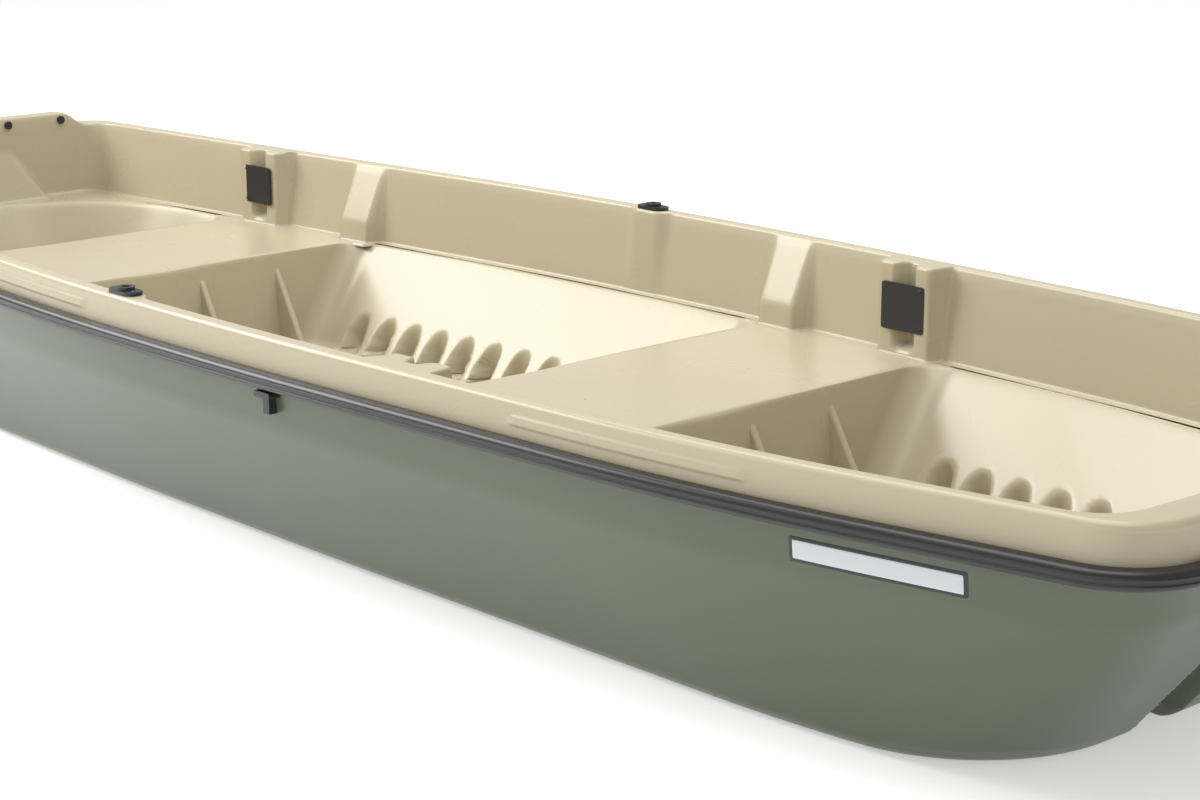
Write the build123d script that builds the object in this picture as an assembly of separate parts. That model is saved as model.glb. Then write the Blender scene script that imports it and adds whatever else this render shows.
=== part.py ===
from build123d import *
from math import cos, radians, sin
import os

# A 12 foot jon boat moulded in plastic: a green outer hull and a tan liner, joined by
# two flanges that a black rub rail grips. Millimetres, +X to the bow, +Y to port, +Z up,
# origin under the middle of the boat on the ground it stands on.

# ---------------------------------------------------------------- driving dimensions
overall_length = 3680.0
overall_beam = 1250.0
gunwale_height = 385.0
transom_rise = 28.0

stern_beam = 0.784 * overall_beam
bow_beam = 0.742 * overall_beam         # where the bow corner starts to round
bottom_beam = 0.7136 * overall_beam
bottom_stern_beam = 0.64 * overall_beam
bottom_bow_beam = 0.632 * overall_beam
bow_crown = 0.02 * overall_beam                # how far the middle of the bow stands ahead of its corners
crown_radius = 3.2 * overall_beam
shoulder_radius = 3400.0        # the side's three long arcs, from the bow to the stern
middle_radius = 10000.0
quarter_radius = 6500.0
shoulder_x = 0.334 * overall_length     # where those arcs turn
middle_x = 0.092 * overall_length
quarter_x = -0.059 * overall_length
shoulder_tuck = 0.27            # share of the bow's narrowing that is reached at the shoulder
bow_overhang = 268.0            # from the bow's foot forward to the rail
foot_shoulder_radius = 2000.0
foot_bow_radius = 0.184 * overall_beam
foot_stern_radius = 60.0
chine_radius = 22.0
flare_slant = 1.2               # level distance through the flared side over its thickness
knuckle_drop = 135.0            # from the gunwale down to the crease in the topsides
knuckle_inset = 30.0            # from the rail's outer face in to that crease
knuckle_bow_inset = 62.0
knuckle_bow_radius = 160.0
rail_corner_stern = 90.0
rail_corner_bow = 130.0

hull_thickness = 6.0
flange_thickness = 5.0
skin_gap = 1.5                  # free space between the hull's skin and the liner
skin_clearance = 0.3            # fittings on the hull's curved sides stand this far off it
fit_gap = 0.5                   # round faces of two pieces stay this far apart

rail_height = 24.0
rail_width = 22.0
rail_radius = 7.0
rail_web = 6.0                  # thickness of the rail outside the flanges
rail_top_drop = 47.0            # from the gunwale down to the rail's top edge
rail_lean = 7.0                 # how far the gunwale's outer face leans in above the rail
gunwale_radius = 9.0

cockpit_inset = 58.0            # from the rail's outer face to the cockpit's top edge
cockpit_bow_inset = 92.0
cockpit_stern_inset = 75.0
ledge_inset = 80.0
ledge_bow_inset = 112.0
cockpit_corner = 75.0
cockpit_stern_corner = 60.0

bench_drop = 157.0
bench_width = 400.0
aft_bench_rear = -1235.0
forward_bench_rear = 283.0
bench_draft = 18.0              # how far a bench face leans over its height
bench_half_length = 0.35 * overall_beam
bench_foot_half_length = 0.272 * overall_beam
upright_share = 0.9             # an edge this share of the well's height is an upright corner
bench_flare = 3.0               # how far a bench's foot runs past its drafted face
stern_split_x = -1500.0
bow_split_x = 1320.0
well_inset = 95.0               # from the rail's outer face to the well's top edge
well_bow_inset = 205.0
well_stern_inset = 105.0
well_stern_radius = 0.304 * overall_beam
well_bow_radius = 0.136 * overall_beam
well_floor_stern_radius = 0.152 * overall_beam
well_floor_bow_radius = 0.12 * overall_beam
well_floor_shoulder_radius = 1500.0
well_floor_inset = 76.0         # from the hull's bottom outline to the foot of the well
well_floor_bow_inset = 112.0
well_floor_stern_inset = 190.0
well_corner_radius = 60.0

channel_inner = 52.0
channel_outer = 140.0
channel_depth = 12.0
bow_channel_depth = 38.0
channel_top_drop = 120.0
pan_thickness = 12.0

flute_pitch = 79.0
flute_radius = 22.5
flute_height = 76.0
flute_margin = 110.0            # from a bench face to the first niche's middle
bow_flutes_end = 620.0
floor_groove_width = 42.0
floor_groove_depth = 4.0
floor_groove_margin = 60.0

gusset_thickness = 14.0
gusset_reach = 100.0
gusset_drop = 14.0
gusset_inner_y = 0.0744 * overall_beam
gusset_outer_y = 0.2192 * overall_beam
gusset_places = (-gusset_outer_y, -gusset_inner_y, gusset_inner_y, gusset_outer_y)

wall_bite = 20.0                # details run this far into the wall behind them
pilaster_width = 92.0
pilaster_reach = 40.0
pilaster_drop = 115.0
pilaster_places = (-830.0, 330.0)

boss_radius = 12.0
rod_boss_width = 123.0
rod_boss_reach = 46.0
rod_boss_places = (-1136.0, 631.0)
rod_groove_width = 40.0
rod_groove_depth = 26.0
rod_groove_floor = 14.0         # solid left under the groove
pad_width = 92.0
pad_height = 80.0
pad_thickness = 4.0
pad_top_drop = 33.0

oarlock_x = -40.0
oarlock_length = 68.0
oarlock_width = 33.0
oarlock_plate = 6.0
oarlock_rise = 5.0
oarlock_bore = 6.5
oarlock_barrel = 10.0
oarlock_collar = 15.0
oarlock_inset = 54.0            # from the rail's outer face to the socket's middle
oarlock_depth = 40.0
oarlock_boss_width = 92.0
oarlock_boss_reach = 14.0
oarlock_boss_tail = 170.0       # from the gunwale down to the boss's lower end

apron_top_width = 0.32 * overall_beam
apron_foot_width = 0.4576 * overall_beam
apron_top_drop = 47.0
apron_top_depth = 12.0
transom_raised_width = 0.5504 * overall_beam
transom_slope_run = 58.0
crest_bite = 12.0               # the raised part runs this far down into the gunwale
crest_setback = 2.0             # its outer face stands this far inside the gunwale's

handle_bolt_spacing = 135.0
handle_width = 16.0
handle_thickness = 8.0
handle_reach = 24.0
handle_height = 398.0
transom_handle_y = 0.2164 * overall_beam
bolt_cap_radius = 9.0
bolt_cap_height = 5.0
motor_plate_width = 0.24 * overall_beam
motor_plate_thickness = 5.0
outer_plate_height = 150.0
inner_plate_height = 55.0
drain_flange_radius = 24.0
drain_plug_radius = 14.0
drain_flange_thickness = 4.0
drain_plug_length = 9.0
drain_height = 58.0

hook_x = 385.0
hook_width = 38.0
hook_height = 34.0
hook_thickness = 9.0
hook_reach = 16.0
hook_drop = 3.0
hook_corner = 3.0
stem_width = 14.4
label_corner = 4.0
pad_corner = 5.0
inner_plate_corner = 10.0
outer_plate_corner = 15.0
inner_plate_rise = 12.0         # from the apron's top edge up to the inner plate
outer_plate_drop = 8.0          # from the rail down to the outer plate
label_length = 240.0
label_height = 34.0
label_thickness = 1.5
label_x = 1465.0
bow_eye_height = 130.0
bow_eye_radius = 16.0
bow_eye_rod = 5.0
bow_eye_foot_radius = 24.0
bow_eye_foot = 14.0             # half of it stands proud of the bow face
bow_handle_rise = 28.0
bow_handle_inset = 66.0         # from the rail's outer face to the middle of the handle

# ---------------------------------------------------------------- heights
knuckle_z = gunwale_height - knuckle_drop
rail_top_z = gunwale_height - rail_top_drop
rail_foot_z = rail_top_z - rail_height
seam_z = rail_foot_z + rail_height / 2
bench_z = gunwale_height - bench_drop
pan_foot_z = channel_depth + hull_thickness
floor_z = pan_foot_z + pan_thickness
half_length = overall_length / 2
transom_x = -half_length + rail_width + 1.0
crest_x = transom_x + rail_lean + crest_setback
lid = 60.0                      # cutting solids run this far past what they cut
tall = 8 * lid                  # more than the boat's whole depth


# ---------------------------------------------------------------- outlines in plan
def plan_polygon(half_beam, stern_half, bow_half, stern_x, bow_x, crown):
    """Corners of one plan outline, port side, from the bow's middle to the stern."""
    return [
        Vector(bow_x, 0),
        Vector(bow_x - crown, bow_half),
        Vector(shoulder_x, half_beam - shoulder_tuck * (half_beam - bow_half)),
        Vector(middle_x, half_beam),
        Vector(quarter_x, half_beam),
        Vector(stern_x, stern_half),
    ]


crown_turn = Vector(bow_crown, bow_beam / 2).get_angle(Vector(0, 1))
crown_cut = crown_radius * (1 / cos(radians(crown_turn)) - 1)
rail_corners = plan_polygon(
    overall_beam / 2, stern_beam / 2, bow_beam / 2,
    -half_length, half_length + crown_cut, bow_crown)
foot_corners = plan_polygon(
    bottom_beam / 2, bottom_stern_beam / 2, bottom_bow_beam / 2,
    transom_x, half_length - bow_overhang, bow_crown / 3)


def inset_corners(corners, side, bow, stern):
    """The outline moved in by its own distance on the sides, the bow and the stern."""
    ring = [Vector(bow_point.X, -bow_point.Y) for bow_point in reversed(corners[1:])]
    loop = corners + ring
    moved = []
    count = len(loop)
    for index in range(count):
        before, here, after = loop[index - 1], loop[index], loop[(index + 1) % count]
        lines = []
        for start, end in ((before, here), (here, after)):
            along = (end - start).normalized()
            inward = Vector(-along.Y, along.X)
            if abs(along.Y) > abs(along.X):
                distance = bow if start.X + end.X > 0 else stern
            else:
                distance = side
            lines.append((start + inward * distance, along))
        (p1, d1), (p2, d2) = lines
        cross = d1.X * d2.Y - d1.Y * d2.X
        gap = p2 - p1
        step = (gap.X * d2.Y - gap.Y * d2.X) / cross
        moved.append(p1 + d1 * step)
    return moved[:len(corners)]


def outline(corners, z, stern_radius, bow_radius, shoulder=shoulder_radius):
    """A plan outline as a face: long arcs along the sides, rounded corners at both ends."""
    ring = [Vector(corner.X, -corner.Y) for corner in reversed(corners[1:])]
    half_radii = [bow_radius, shoulder, middle_radius, quarter_radius, stern_radius]
    radii = [crown_radius] + half_radii + half_radii[::-1]
    points = [Vector(corner.X, corner.Y, z) for corner in corners + ring]
    return make_face(FilletPolyline(*points, radius=radii, close=True))


def half_beam_at(corners, x):
    """Half the beam of a plan outline at one station."""
    side = corners[1:]
    for front, back in zip(side, side[1:]):
        if back.X <= x <= front.X:
            return back.Y + (front.Y - back.Y) * (x - back.X) / (front.X - back.X)
    return side[0].Y if x > side[0].X else side[-1].Y


# ---------------------------------------------------------------- outer form of the hull
def between(low, high, share):
    """Corners part of the way from one outline to another."""
    return [a + (b - a) * share for a, b in zip(low, high)]


knuckle_corners = inset_corners(rail_corners, knuckle_inset, knuckle_bow_inset,
                                transom_x + half_length)
flange_corners = inset_corners(rail_corners, rail_width + 1, rail_width + 1,
                               transom_x + half_length)


def hull_form(inset, foot_z, top_z):
    """The hull's outer form, moved in by a distance: round chine, flared sides, upright band."""
    slope_inset = flare_slant * inset
    round_off = chine_radius - inset
    faces = []
    for turn in (0, 30, 60, 90):
        z = foot_z + round_off * (1 - cos(radians(turn)))
        tuck = round_off * (1 - sin(radians(turn)))
        low = between(foot_corners, knuckle_corners, z / knuckle_z)
        low = inset_corners(low, slope_inset + tuck, slope_inset + tuck, inset + tuck)
        faces.append(outline(low, z, foot_stern_radius, foot_bow_radius, foot_shoulder_radius))
    middle = inset_corners(knuckle_corners, slope_inset, slope_inset, inset)
    high = inset_corners(flange_corners, inset, inset, inset)
    faces.append(outline(middle, knuckle_z, foot_stern_radius, knuckle_bow_radius))
    faces.append(outline(
        high, top_z, rail_corner_stern - rail_width - 1, rail_corner_bow - rail_width - 1))
    return loft(faces, ruled=True)


def channel_form(grow, foot_grow):
    """The two channels under the hull that run up its bow face, each grown by a distance."""
    foot_x = half_length - bow_overhang
    rise = (foot_corners[0].X - knuckle_corners[0].X) / -knuckle_z
    top = gunwale_height - channel_top_drop + grow
    back = bow_channel_depth + grow
    depth = channel_depth + foot_grow
    profile = Polyline(
        (-half_length - lid, -lid), (-half_length - lid, depth),
        (foot_x - back + rise * depth, depth), (foot_x - back + rise * top, top),
        (half_length + lid, top), (half_length + lid, -lid), close=True)
    side_view = make_face(profile)
    width = channel_outer - channel_inner + 2 * grow
    cut = extrude(Plane.XZ * side_view, amount=width / 2, both=True)
    middle = (channel_outer + channel_inner) / 2
    return Pos(0, middle, 0) * cut + Pos(0, -middle, 0) * cut


# ---------------------------------------------------------------- the open cockpit
def cockpit_space():
    """The space above the ledge, open at the top."""
    high = inset_corners(rail_corners, cockpit_inset, cockpit_bow_inset, cockpit_stern_inset)
    low = inset_corners(rail_corners, ledge_inset, ledge_bow_inset, cockpit_stern_inset)
    top_face = outline(high, gunwale_height, cockpit_stern_corner, cockpit_corner)
    low_face = outline(low, bench_z, cockpit_stern_corner, cockpit_corner)
    space = loft([low_face, top_face], ruled=True)
    return space + extrude(top_face, amount=lid + transom_rise)


def trough_space():
    """The space under the ledge before the benches stand in it."""
    high = inset_corners(rail_corners, well_inset, well_bow_inset, well_stern_inset)
    low = inset_corners(foot_corners, well_floor_inset, well_floor_bow_inset,
                        well_floor_stern_inset)
    low_face = outline(low, floor_z, well_floor_stern_radius, well_floor_bow_radius,
                       well_floor_shoulder_radius)
    high_face = outline(high, bench_z, well_stern_radius, well_bow_radius)
    return loft([low_face, high_face], ruled=True)


def well_block(rear_x, front_x):
    """A block between two bench faces that lean apart towards the top."""
    height = bench_z - floor_z
    profile = make_face(Polyline(
        (rear_x + bench_draft, floor_z), (front_x - bench_draft, floor_z),
        (front_x, floor_z + height), (rear_x, floor_z + height), close=True))
    return extrude(Plane.XZ * profile, amount=overall_beam, both=True)


aft_bench_front = aft_bench_rear + bench_width
forward_bench_front = forward_bench_rear + bench_width
trough = trough_space()
well_spans = (
    (-half_length, aft_bench_rear),
    (aft_bench_front, forward_bench_rear),
    (forward_bench_front, half_length),
)


def soft_well(rear_x, front_x):
    """One well with the upright corners at its bench faces rounded."""
    well = trough & well_block(rear_x, front_x)
    height = upright_share * (bench_z - floor_z)
    corners = []
    for edge in well.edges():
        reach = min(abs(edge.center().X - rear_x), abs(edge.center().X - front_x))
        if edge.bounding_box().size.Z > height and reach < bench_draft + 1:
            corners.append(edge)
    return fillet(corners, well_corner_radius)


wells = [soft_well(rear, front) for rear, front in well_spans]
cockpit = cockpit_space()


# ---------------------------------------------------------------- liner details
def mirrored(shape):
    """A shape and its twin on the other side of the boat."""
    return shape + mirror(shape, Plane.XZ)


def gunwale_inner_y(x):
    """The cockpit's top edge at one station."""
    return half_beam_at(rail_corners, x) - cockpit_inset


def pilaster(x):
    """A wedge on the side wall, flush at the gunwale and proud above the ledge."""
    edge = gunwale_inner_y(x)
    nose = edge - pilaster_reach
    knee_z = gunwale_height - pilaster_drop
    back = half_beam_at(rail_corners, x) - ledge_inset + wall_bite
    profile = make_face(Polyline(
        (edge + wall_bite, gunwale_height), (edge, gunwale_height), (nose, knee_z),
        (nose, bench_z), (back, bench_z), close=True))
    return Pos(x, 0, 0) * extrude(Plane.YZ * profile, amount=pilaster_width / 2, both=True)


def rod_boss_face(x):
    """How far from the middle of the boat a rod-holder boss has its face."""
    return gunwale_inner_y(x) - rod_boss_reach


def rod_boss(x):
    """An upright boss on the side wall with a round-bottomed groove for a fishing rod."""
    face = rod_boss_face(x)
    depth = rod_boss_reach + ledge_inset - cockpit_inset + wall_bite
    height = gunwale_height - bench_z
    block = Pos(x, face + depth / 2, bench_z + height / 2) * Box(rod_boss_width, depth, height)
    return fillet(block.edges().filter_by(Axis.Z).group_by(Axis.Y)[0], boss_radius) - rod_groove(x)


def rod_groove(x):
    """The groove that a rod's butt stands in, open at the top and towards the cockpit."""
    face = rod_boss_face(x)
    floor = bench_z + rod_groove_floor
    height = gunwale_height + lid - floor
    middle = face + rod_groove_depth - rod_groove_width / 2
    round_part = Pos(x, middle, floor + height / 2) * Cylinder(rod_groove_width / 2, height)
    straight = Pos(x, middle - lid / 2, floor + height / 2) * Box(rod_groove_width, lid, height)
    return round_part + straight


def oarlock_boss():
    """A thickening of the inner wall under the oarlock socket."""
    edge = gunwale_inner_y(oarlock_x)
    foot = gunwale_height - oarlock_boss_tail
    height = gunwale_height - foot
    depth = oarlock_boss_reach + ledge_inset - cockpit_inset
    middle = edge - oarlock_boss_reach / 2 + depth / 2
    block = Pos(oarlock_x, middle, foot + height / 2) * Box(oarlock_boss_width, depth, height)
    return fillet(block.edges().filter_by(Axis.Z).group_by(Axis.Y)[0], boss_radius)


def gussets():
    """Thin fins on each bench's forward face that lean from its top edge to the floor."""
    fins = Part()
    for face_x in (aft_bench_front, forward_bench_front):
        root_x = face_x - 2 * bench_draft
        profile = make_face(Polyline(
            (face_x, bench_z - gusset_drop), (face_x + gusset_reach, floor_z),
            (root_x, floor_z), (root_x, bench_z - gusset_drop), close=True))
        fin = extrude(Plane.XZ * profile, amount=gusset_thickness / 2, both=True)
        for place in gusset_places:
            fins += Pos(0, place, 0) * fin
    return fins


def apron():
    """The motor-mount block: it flares out from the transom down to the stern deck."""
    back_x = -half_length + cockpit_stern_inset - wall_bite / 2
    front_x = -half_length + well_stern_inset
    top_z = gunwale_height - apron_top_drop
    foot = Pos((back_x + front_x) / 2, 0, bench_z) * Rectangle(front_x - back_x, apron_foot_width)
    top = Pos(back_x + apron_top_depth / 2, 0, top_z) * Rectangle(apron_top_depth, apron_top_width)
    return loft([foot, top], ruled=True)


def flute(x):
    """A round niche where the side wall meets the floor."""
    foot_y = half_beam_at(foot_corners, x) - well_floor_inset
    top_y = half_beam_at(rail_corners, x) - well_inset
    lean = (top_y - foot_y) / (bench_z - floor_z)
    axis_y = foot_y + lean * flute_height - flute_radius
    return Pos(x, axis_y, floor_z + bench_z / 2) * Cylinder(flute_radius, bench_z)


def flute_row(start_x, end_x):
    """Evenly spaced niches between two stations, on both sides."""
    count = int((end_x - start_x) // flute_pitch) + 1
    first = (start_x + end_x - (count - 1) * flute_pitch) / 2
    return [first + index * flute_pitch for index in range(count)]


flute_stations = (
    flute_row(aft_bench_front + flute_margin, forward_bench_rear - flute_margin)
    + flute_row(forward_bench_front + flute_margin, forward_bench_front + bow_flutes_end)
)


# ---------------------------------------------------------------- liner mass, before it is cut
liner_gap = hull_thickness + skin_gap
cap_foot_corners = inset_corners(rail_corners, rail_width + 1, rail_width + 1, rail_width + 1)
cap_top_corners = inset_corners(cap_foot_corners, rail_lean, rail_lean, rail_lean)

pan_body = (hull_form(liner_gap, liner_gap, seam_z)
            - channel_form(liner_gap, hull_thickness - 1)
            - Pos(0, 0, pan_foot_z - lid) * Box(overall_length, overall_beam, 2 * lid))
half_space = Box(2 * overall_length, 2 * overall_beam, tall)
upper_box = Pos(0, 0, floor_z + tall / 2) * half_space
lower_box = Pos(0, 0, floor_z - tall / 2) * half_space

details = Part()
for station in pilaster_places:
    details += mirrored(pilaster(station))
for station in rod_boss_places:
    details += mirrored(rod_boss(station))
details += mirrored(oarlock_boss())
details += apron()
open_space = cockpit - details
for well in wells:
    open_space += well - gussets()
flutes = Part()
for station in flute_stations:
    flutes += mirrored(flute(station))

liner_mass = (pan_body & upper_box) - open_space - flutes

nodes = {}


def flange(foot_z):
    """One flat flange, as wide as the rub rail's slot lets it be."""
    edge = rail_web + fit_gap
    corners = inset_corners(rail_corners, edge, edge, edge)
    face = outline(corners, foot_z, rail_corner_stern - edge, rail_corner_bow - edge)
    return extrude(face, amount=flange_thickness)


# ---------------------------------------------------------------- hull
def outer_hull():
    """The green moulding: skin, channels, and a flange turned out under the seam."""
    outside = hull_form(0, 0, seam_z) - channel_form(0, 0)
    inside = hull_form(hull_thickness, hull_thickness, seam_z + 1)
    inside -= channel_form(hull_thickness, hull_thickness)
    return (outside + flange(seam_z - flange_thickness)) - inside


nodes["outer_hull"] = outer_hull()


# ---------------------------------------------------------------- rub rail
def rub_rail():
    """A C section that grips both flanges all the way round the boat."""
    outer = outline(rail_corners, rail_foot_z, rail_corner_stern, rail_corner_bow)
    inner_corners = inset_corners(rail_corners, rail_width, rail_width, rail_width)
    inner = outline(inner_corners, rail_foot_z, rail_corner_stern - rail_width,
                    rail_corner_bow - rail_width)
    slot_corners = inset_corners(rail_corners, rail_web, rail_web, rail_web)
    slot = outline(slot_corners, seam_z - flange_thickness, rail_corner_stern - rail_web,
                   rail_corner_bow - rail_web)
    band = extrude(outer, amount=rail_height)
    band = fillet(band.edges().group_by(Axis.Z)[0] + band.edges().group_by(Axis.Z)[-1], rail_radius)
    return band - extrude(inner, amount=rail_height) - extrude(slot, amount=2 * flange_thickness)


nodes["rub_rail"] = rub_rail()


# ---------------------------------------------------------------- gunwale cap
def gunwale_cap():
    """The liner's upper edge: flange, leaning outer face, flat top and raised transom."""
    foot = outline(cap_foot_corners, seam_z, rail_corner_stern - rail_width,
                   rail_corner_bow - rail_width)
    top = outline(cap_top_corners, gunwale_height, rail_corner_stern - rail_width - rail_lean,
                  rail_corner_bow - rail_width - rail_lean)
    ring = loft([foot, top], ruled=True)
    ring = fillet(ring.edges().group_by(Axis.Z)[-1], gunwale_radius)
    half_raised = transom_raised_width / 2
    profile = make_face(Polyline(
        (-half_raised - transom_slope_run, gunwale_height - crest_bite),
        (-half_raised - transom_slope_run, gunwale_height),
        (-half_raised, gunwale_height + transom_rise),
        (half_raised, gunwale_height + transom_rise),
        (half_raised + transom_slope_run, gunwale_height),
        (half_raised + transom_slope_run, gunwale_height - crest_bite), close=True))
    crest = Pos(crest_x, 0, 0) * extrude(Plane.YZ * profile, amount=2 * cockpit_stern_inset)
    body = (ring + crest + flange(seam_z)) - open_space
    socket_y = half_beam_at(rail_corners, oarlock_x) - oarlock_inset
    hole = Cylinder(oarlock_barrel + fit_gap, 2 * (oarlock_depth + 1))
    return body - mirrored(Pos(oarlock_x, socket_y, gunwale_height) * hole)


whole_cap = gunwale_cap()


# ---------------------------------------------------------------- floor pan
def floor_pan():
    """The liner's floor, with shallow cross grooves between the benches."""
    pan = pan_body & lower_box
    grooves = Part()
    for station in flute_stations:
        width = 2 * (half_beam_at(foot_corners, station) - well_floor_inset) - floor_groove_margin
        grooves += Pos(station, 0, floor_z) * Box(
            floor_groove_width, width, 2 * floor_groove_depth)
    return pan - grooves


nodes["floor_pan"] = floor_pan()


# ---------------------------------------------------------------- benches, walls, ends
def slab(low_x, high_x, low_y, high_y):
    """A tall block between two stations and two distances from the middle."""
    size = Vector(high_x - low_x, high_y - low_y)
    return Pos((low_x + high_x) / 2, (low_y + high_y) / 2, 0) * Box(size.X, size.Y, 2 * tall)


below_ledge = Pos(0, 0, bench_z - tall / 2) * half_space


def bench_zone(rear_x, front_x):
    """The block that one thwart bench and its fins are cut out of."""
    foot_half = bench_foot_half_length
    low_x, high_x = rear_x - bench_draft - bench_flare, front_x + bench_draft + bench_flare
    middle = slab(low_x, high_x, -bench_half_length, bench_half_length)
    zone = middle + slab(low_x, front_x + gusset_reach + 1, -foot_half, foot_half)
    return zone & below_ledge


aft_zone = bench_zone(aft_bench_rear, aft_bench_front)
forward_zone = bench_zone(forward_bench_rear, forward_bench_front)
stern_zone = slab(-overall_length, stern_split_x, -overall_beam, overall_beam)
bow_zone = slab(bow_split_x, overall_length, -overall_beam, overall_beam)
nodes["aft_bench"] = liner_mass & aft_zone
nodes["forward_bench"] = liner_mass & forward_zone
nodes["stern_deck"] = liner_mass & stern_zone
nodes["bow_liner"] = liner_mass & bow_zone
walls = liner_mass - aft_zone - forward_zone - stern_zone - bow_zone
port_half = slab(-overall_length, overall_length, 0, overall_beam)
starboard_half = slab(-overall_length, overall_length, -overall_beam, 0)
nodes["side_wall_port"] = walls & port_half
nodes["side_wall_starboard"] = walls & starboard_half
nodes["gunwale_stern"] = whole_cap & stern_zone
nodes["gunwale_bow"] = whole_cap & bow_zone
side_caps = whole_cap - stern_zone - bow_zone
nodes["gunwale_port"] = side_caps & port_half
nodes["gunwale_starboard"] = side_caps & starboard_half


# ---------------------------------------------------------------- fittings
def rod_pad(x, side):
    """A black plate across the groove that keeps the rod in it."""
    face = rod_boss_face(x) - pad_thickness / 2
    middle_z = gunwale_height - pad_top_drop - pad_height / 2
    plate = Pos(x, side * face, middle_z) * Box(pad_width, pad_thickness, pad_height)
    return fillet(plate.edges().filter_by(Axis.Y), pad_corner)


for place, station in zip(("aft", "forward"), rod_boss_places):
    for side, name in ((1, "port"), (-1, "starboard")):
        nodes["rod_pad_" + place + "_" + name] = rod_pad(station, side)


def oarlock_socket(side):
    """A plate on the gunwale with a collar and a barrel that takes the oarlock's pin."""
    middle_y = side * (half_beam_at(rail_corners, oarlock_x) - oarlock_inset)
    plate = Box(oarlock_length, oarlock_width, oarlock_plate)
    plate = fillet(plate.edges().filter_by(Axis.Z), oarlock_width / 2 - 1)
    base = Align.MIN
    plate = Pos(0, 0, oarlock_plate / 2) * plate
    collar = Cylinder(oarlock_collar, oarlock_plate + oarlock_rise,
                      align=(Align.CENTER, Align.CENTER, base))
    barrel = Cylinder(oarlock_barrel, oarlock_depth, align=(Align.CENTER, Align.CENTER, Align.MAX))
    bore = Cylinder(oarlock_bore, 4 * oarlock_depth)
    return Pos(oarlock_x, middle_y, gunwale_height) * (plate + collar + barrel - bore)


nodes["oarlock_socket_port"] = oarlock_socket(1)
nodes["oarlock_socket_starboard"] = oarlock_socket(-1)

inner_transom_x = -half_length + cockpit_stern_inset


def loop_handle(length, reach, width, thickness):
    """A flat loop that stands on the plane X = 0 and reaches towards +X."""
    outer = Pos(reach / 2, 0, 0) * Box(reach, length + width, width)
    outer = fillet(outer.edges().filter_by(Axis.Z).group_by(Axis.X)[-1], reach / 2)
    gap_depth = reach - thickness
    gap = Pos(gap_depth / 2, 0, 0) * Box(gap_depth, length - width, width * 2)
    return outer - fillet(gap.edges().filter_by(Axis.Z).group_by(Axis.X)[-1], gap_depth / 2)


for side, name in ((1, "port"), (-1, "starboard")):
    turned = Rot(0, 0, 180) * loop_handle(
        handle_bolt_spacing, handle_reach, handle_width, handle_thickness)
    nodes["transom_handle_" + name] = Pos(crest_x, side * transom_handle_y, handle_height) * turned

upright = Rot(0, -90, 0) * loop_handle(
    handle_bolt_spacing, bow_handle_rise, handle_width, handle_thickness)
nodes["bow_handle"] = Pos(half_length - bow_handle_inset, 0, gunwale_height) * upright

caps = Part()
for side in (1, -1):
    for step in (-0.5, 0.5):
        cap_y = side * transom_handle_y + step * handle_bolt_spacing
        cap_place = Pos(inner_transom_x + bolt_cap_height / 2, cap_y, handle_height)
        caps += cap_place * Rot(0, 90, 0) * Cylinder(bolt_cap_radius, bolt_cap_height)
nodes["handle_bolt_caps"] = caps

inner_plate_z = gunwale_height - apron_top_drop + inner_plate_height / 2 + inner_plate_rise
outer_plate_z = rail_foot_z - outer_plate_height / 2 - outer_plate_drop


def motor_plate(face_x, middle_z, height, corner):
    """An upright plate with rounded corners that a motor's clamp bears on."""
    plate = Box(motor_plate_thickness, motor_plate_width, height)
    return Pos(face_x, 0, middle_z) * fillet(plate.edges().filter_by(Axis.X), corner)


nodes["motor_plate_inner"] = motor_plate(
    inner_transom_x + motor_plate_thickness / 2, inner_plate_z, inner_plate_height,
    inner_plate_corner)
nodes["motor_plate_outer"] = motor_plate(
    transom_x - motor_plate_thickness / 2, outer_plate_z, outer_plate_height,
    outer_plate_corner)

drain_base = Pos(transom_x - drain_flange_thickness / 2, 0, drain_height) * Rot(0, 90, 0)
plug_length = drain_flange_thickness + drain_plug_length
plug_base = Pos(transom_x - plug_length / 2, 0, drain_height) * Rot(0, 90, 0)
nodes["drain_plug"] = (drain_base * Cylinder(drain_flange_radius, drain_flange_thickness)
                       + plug_base * Cylinder(drain_plug_radius, plug_length))


# ---------------------------------------------------------------- fittings on the hull's sides
hull_skirt = hull_form(-skin_clearance, -skin_clearance, seam_z)
label_skin = hull_form(-skin_clearance - label_thickness, -skin_clearance, seam_z) - hull_skirt


def hook(side):
    """A small T-shaped hook on the topsides just under the rub rail."""
    side_y = half_beam_at(flange_corners, hook_x)
    stem_height = hook_height - hook_thickness
    top_z = rail_foot_z - hook_drop
    head = Pos(0, 0, top_z - hook_thickness / 2) * Box(hook_width, hook_reach * 2, hook_thickness)
    stem = Pos(0, -hook_reach / 4, top_z - hook_thickness - stem_height / 2) * Box(
        stem_width, hook_reach * 1.5, stem_height)
    body = Pos(hook_x, side_y, 0) * (fillet(head.edges().filter_by(Axis.Y), hook_corner) + stem)
    body -= hull_skirt
    return body if side > 0 else mirror(body, Plane.XZ)


def name_label(side):
    """A blank name plate that follows the topsides on the bow quarter."""
    middle_z = (knuckle_z + rail_foot_z) / 2
    middle_y = side * overall_beam / 2
    window = Pos(label_x, middle_y, middle_z) * Box(label_length, overall_beam, label_height)
    return label_skin & fillet(window.edges().filter_by(Axis.Y), label_corner)


for side, name in ((1, "port"), (-1, "starboard")):
    nodes["rail_hook_" + name] = hook(side)
    nodes["name_label_" + name] = name_label(side)


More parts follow.
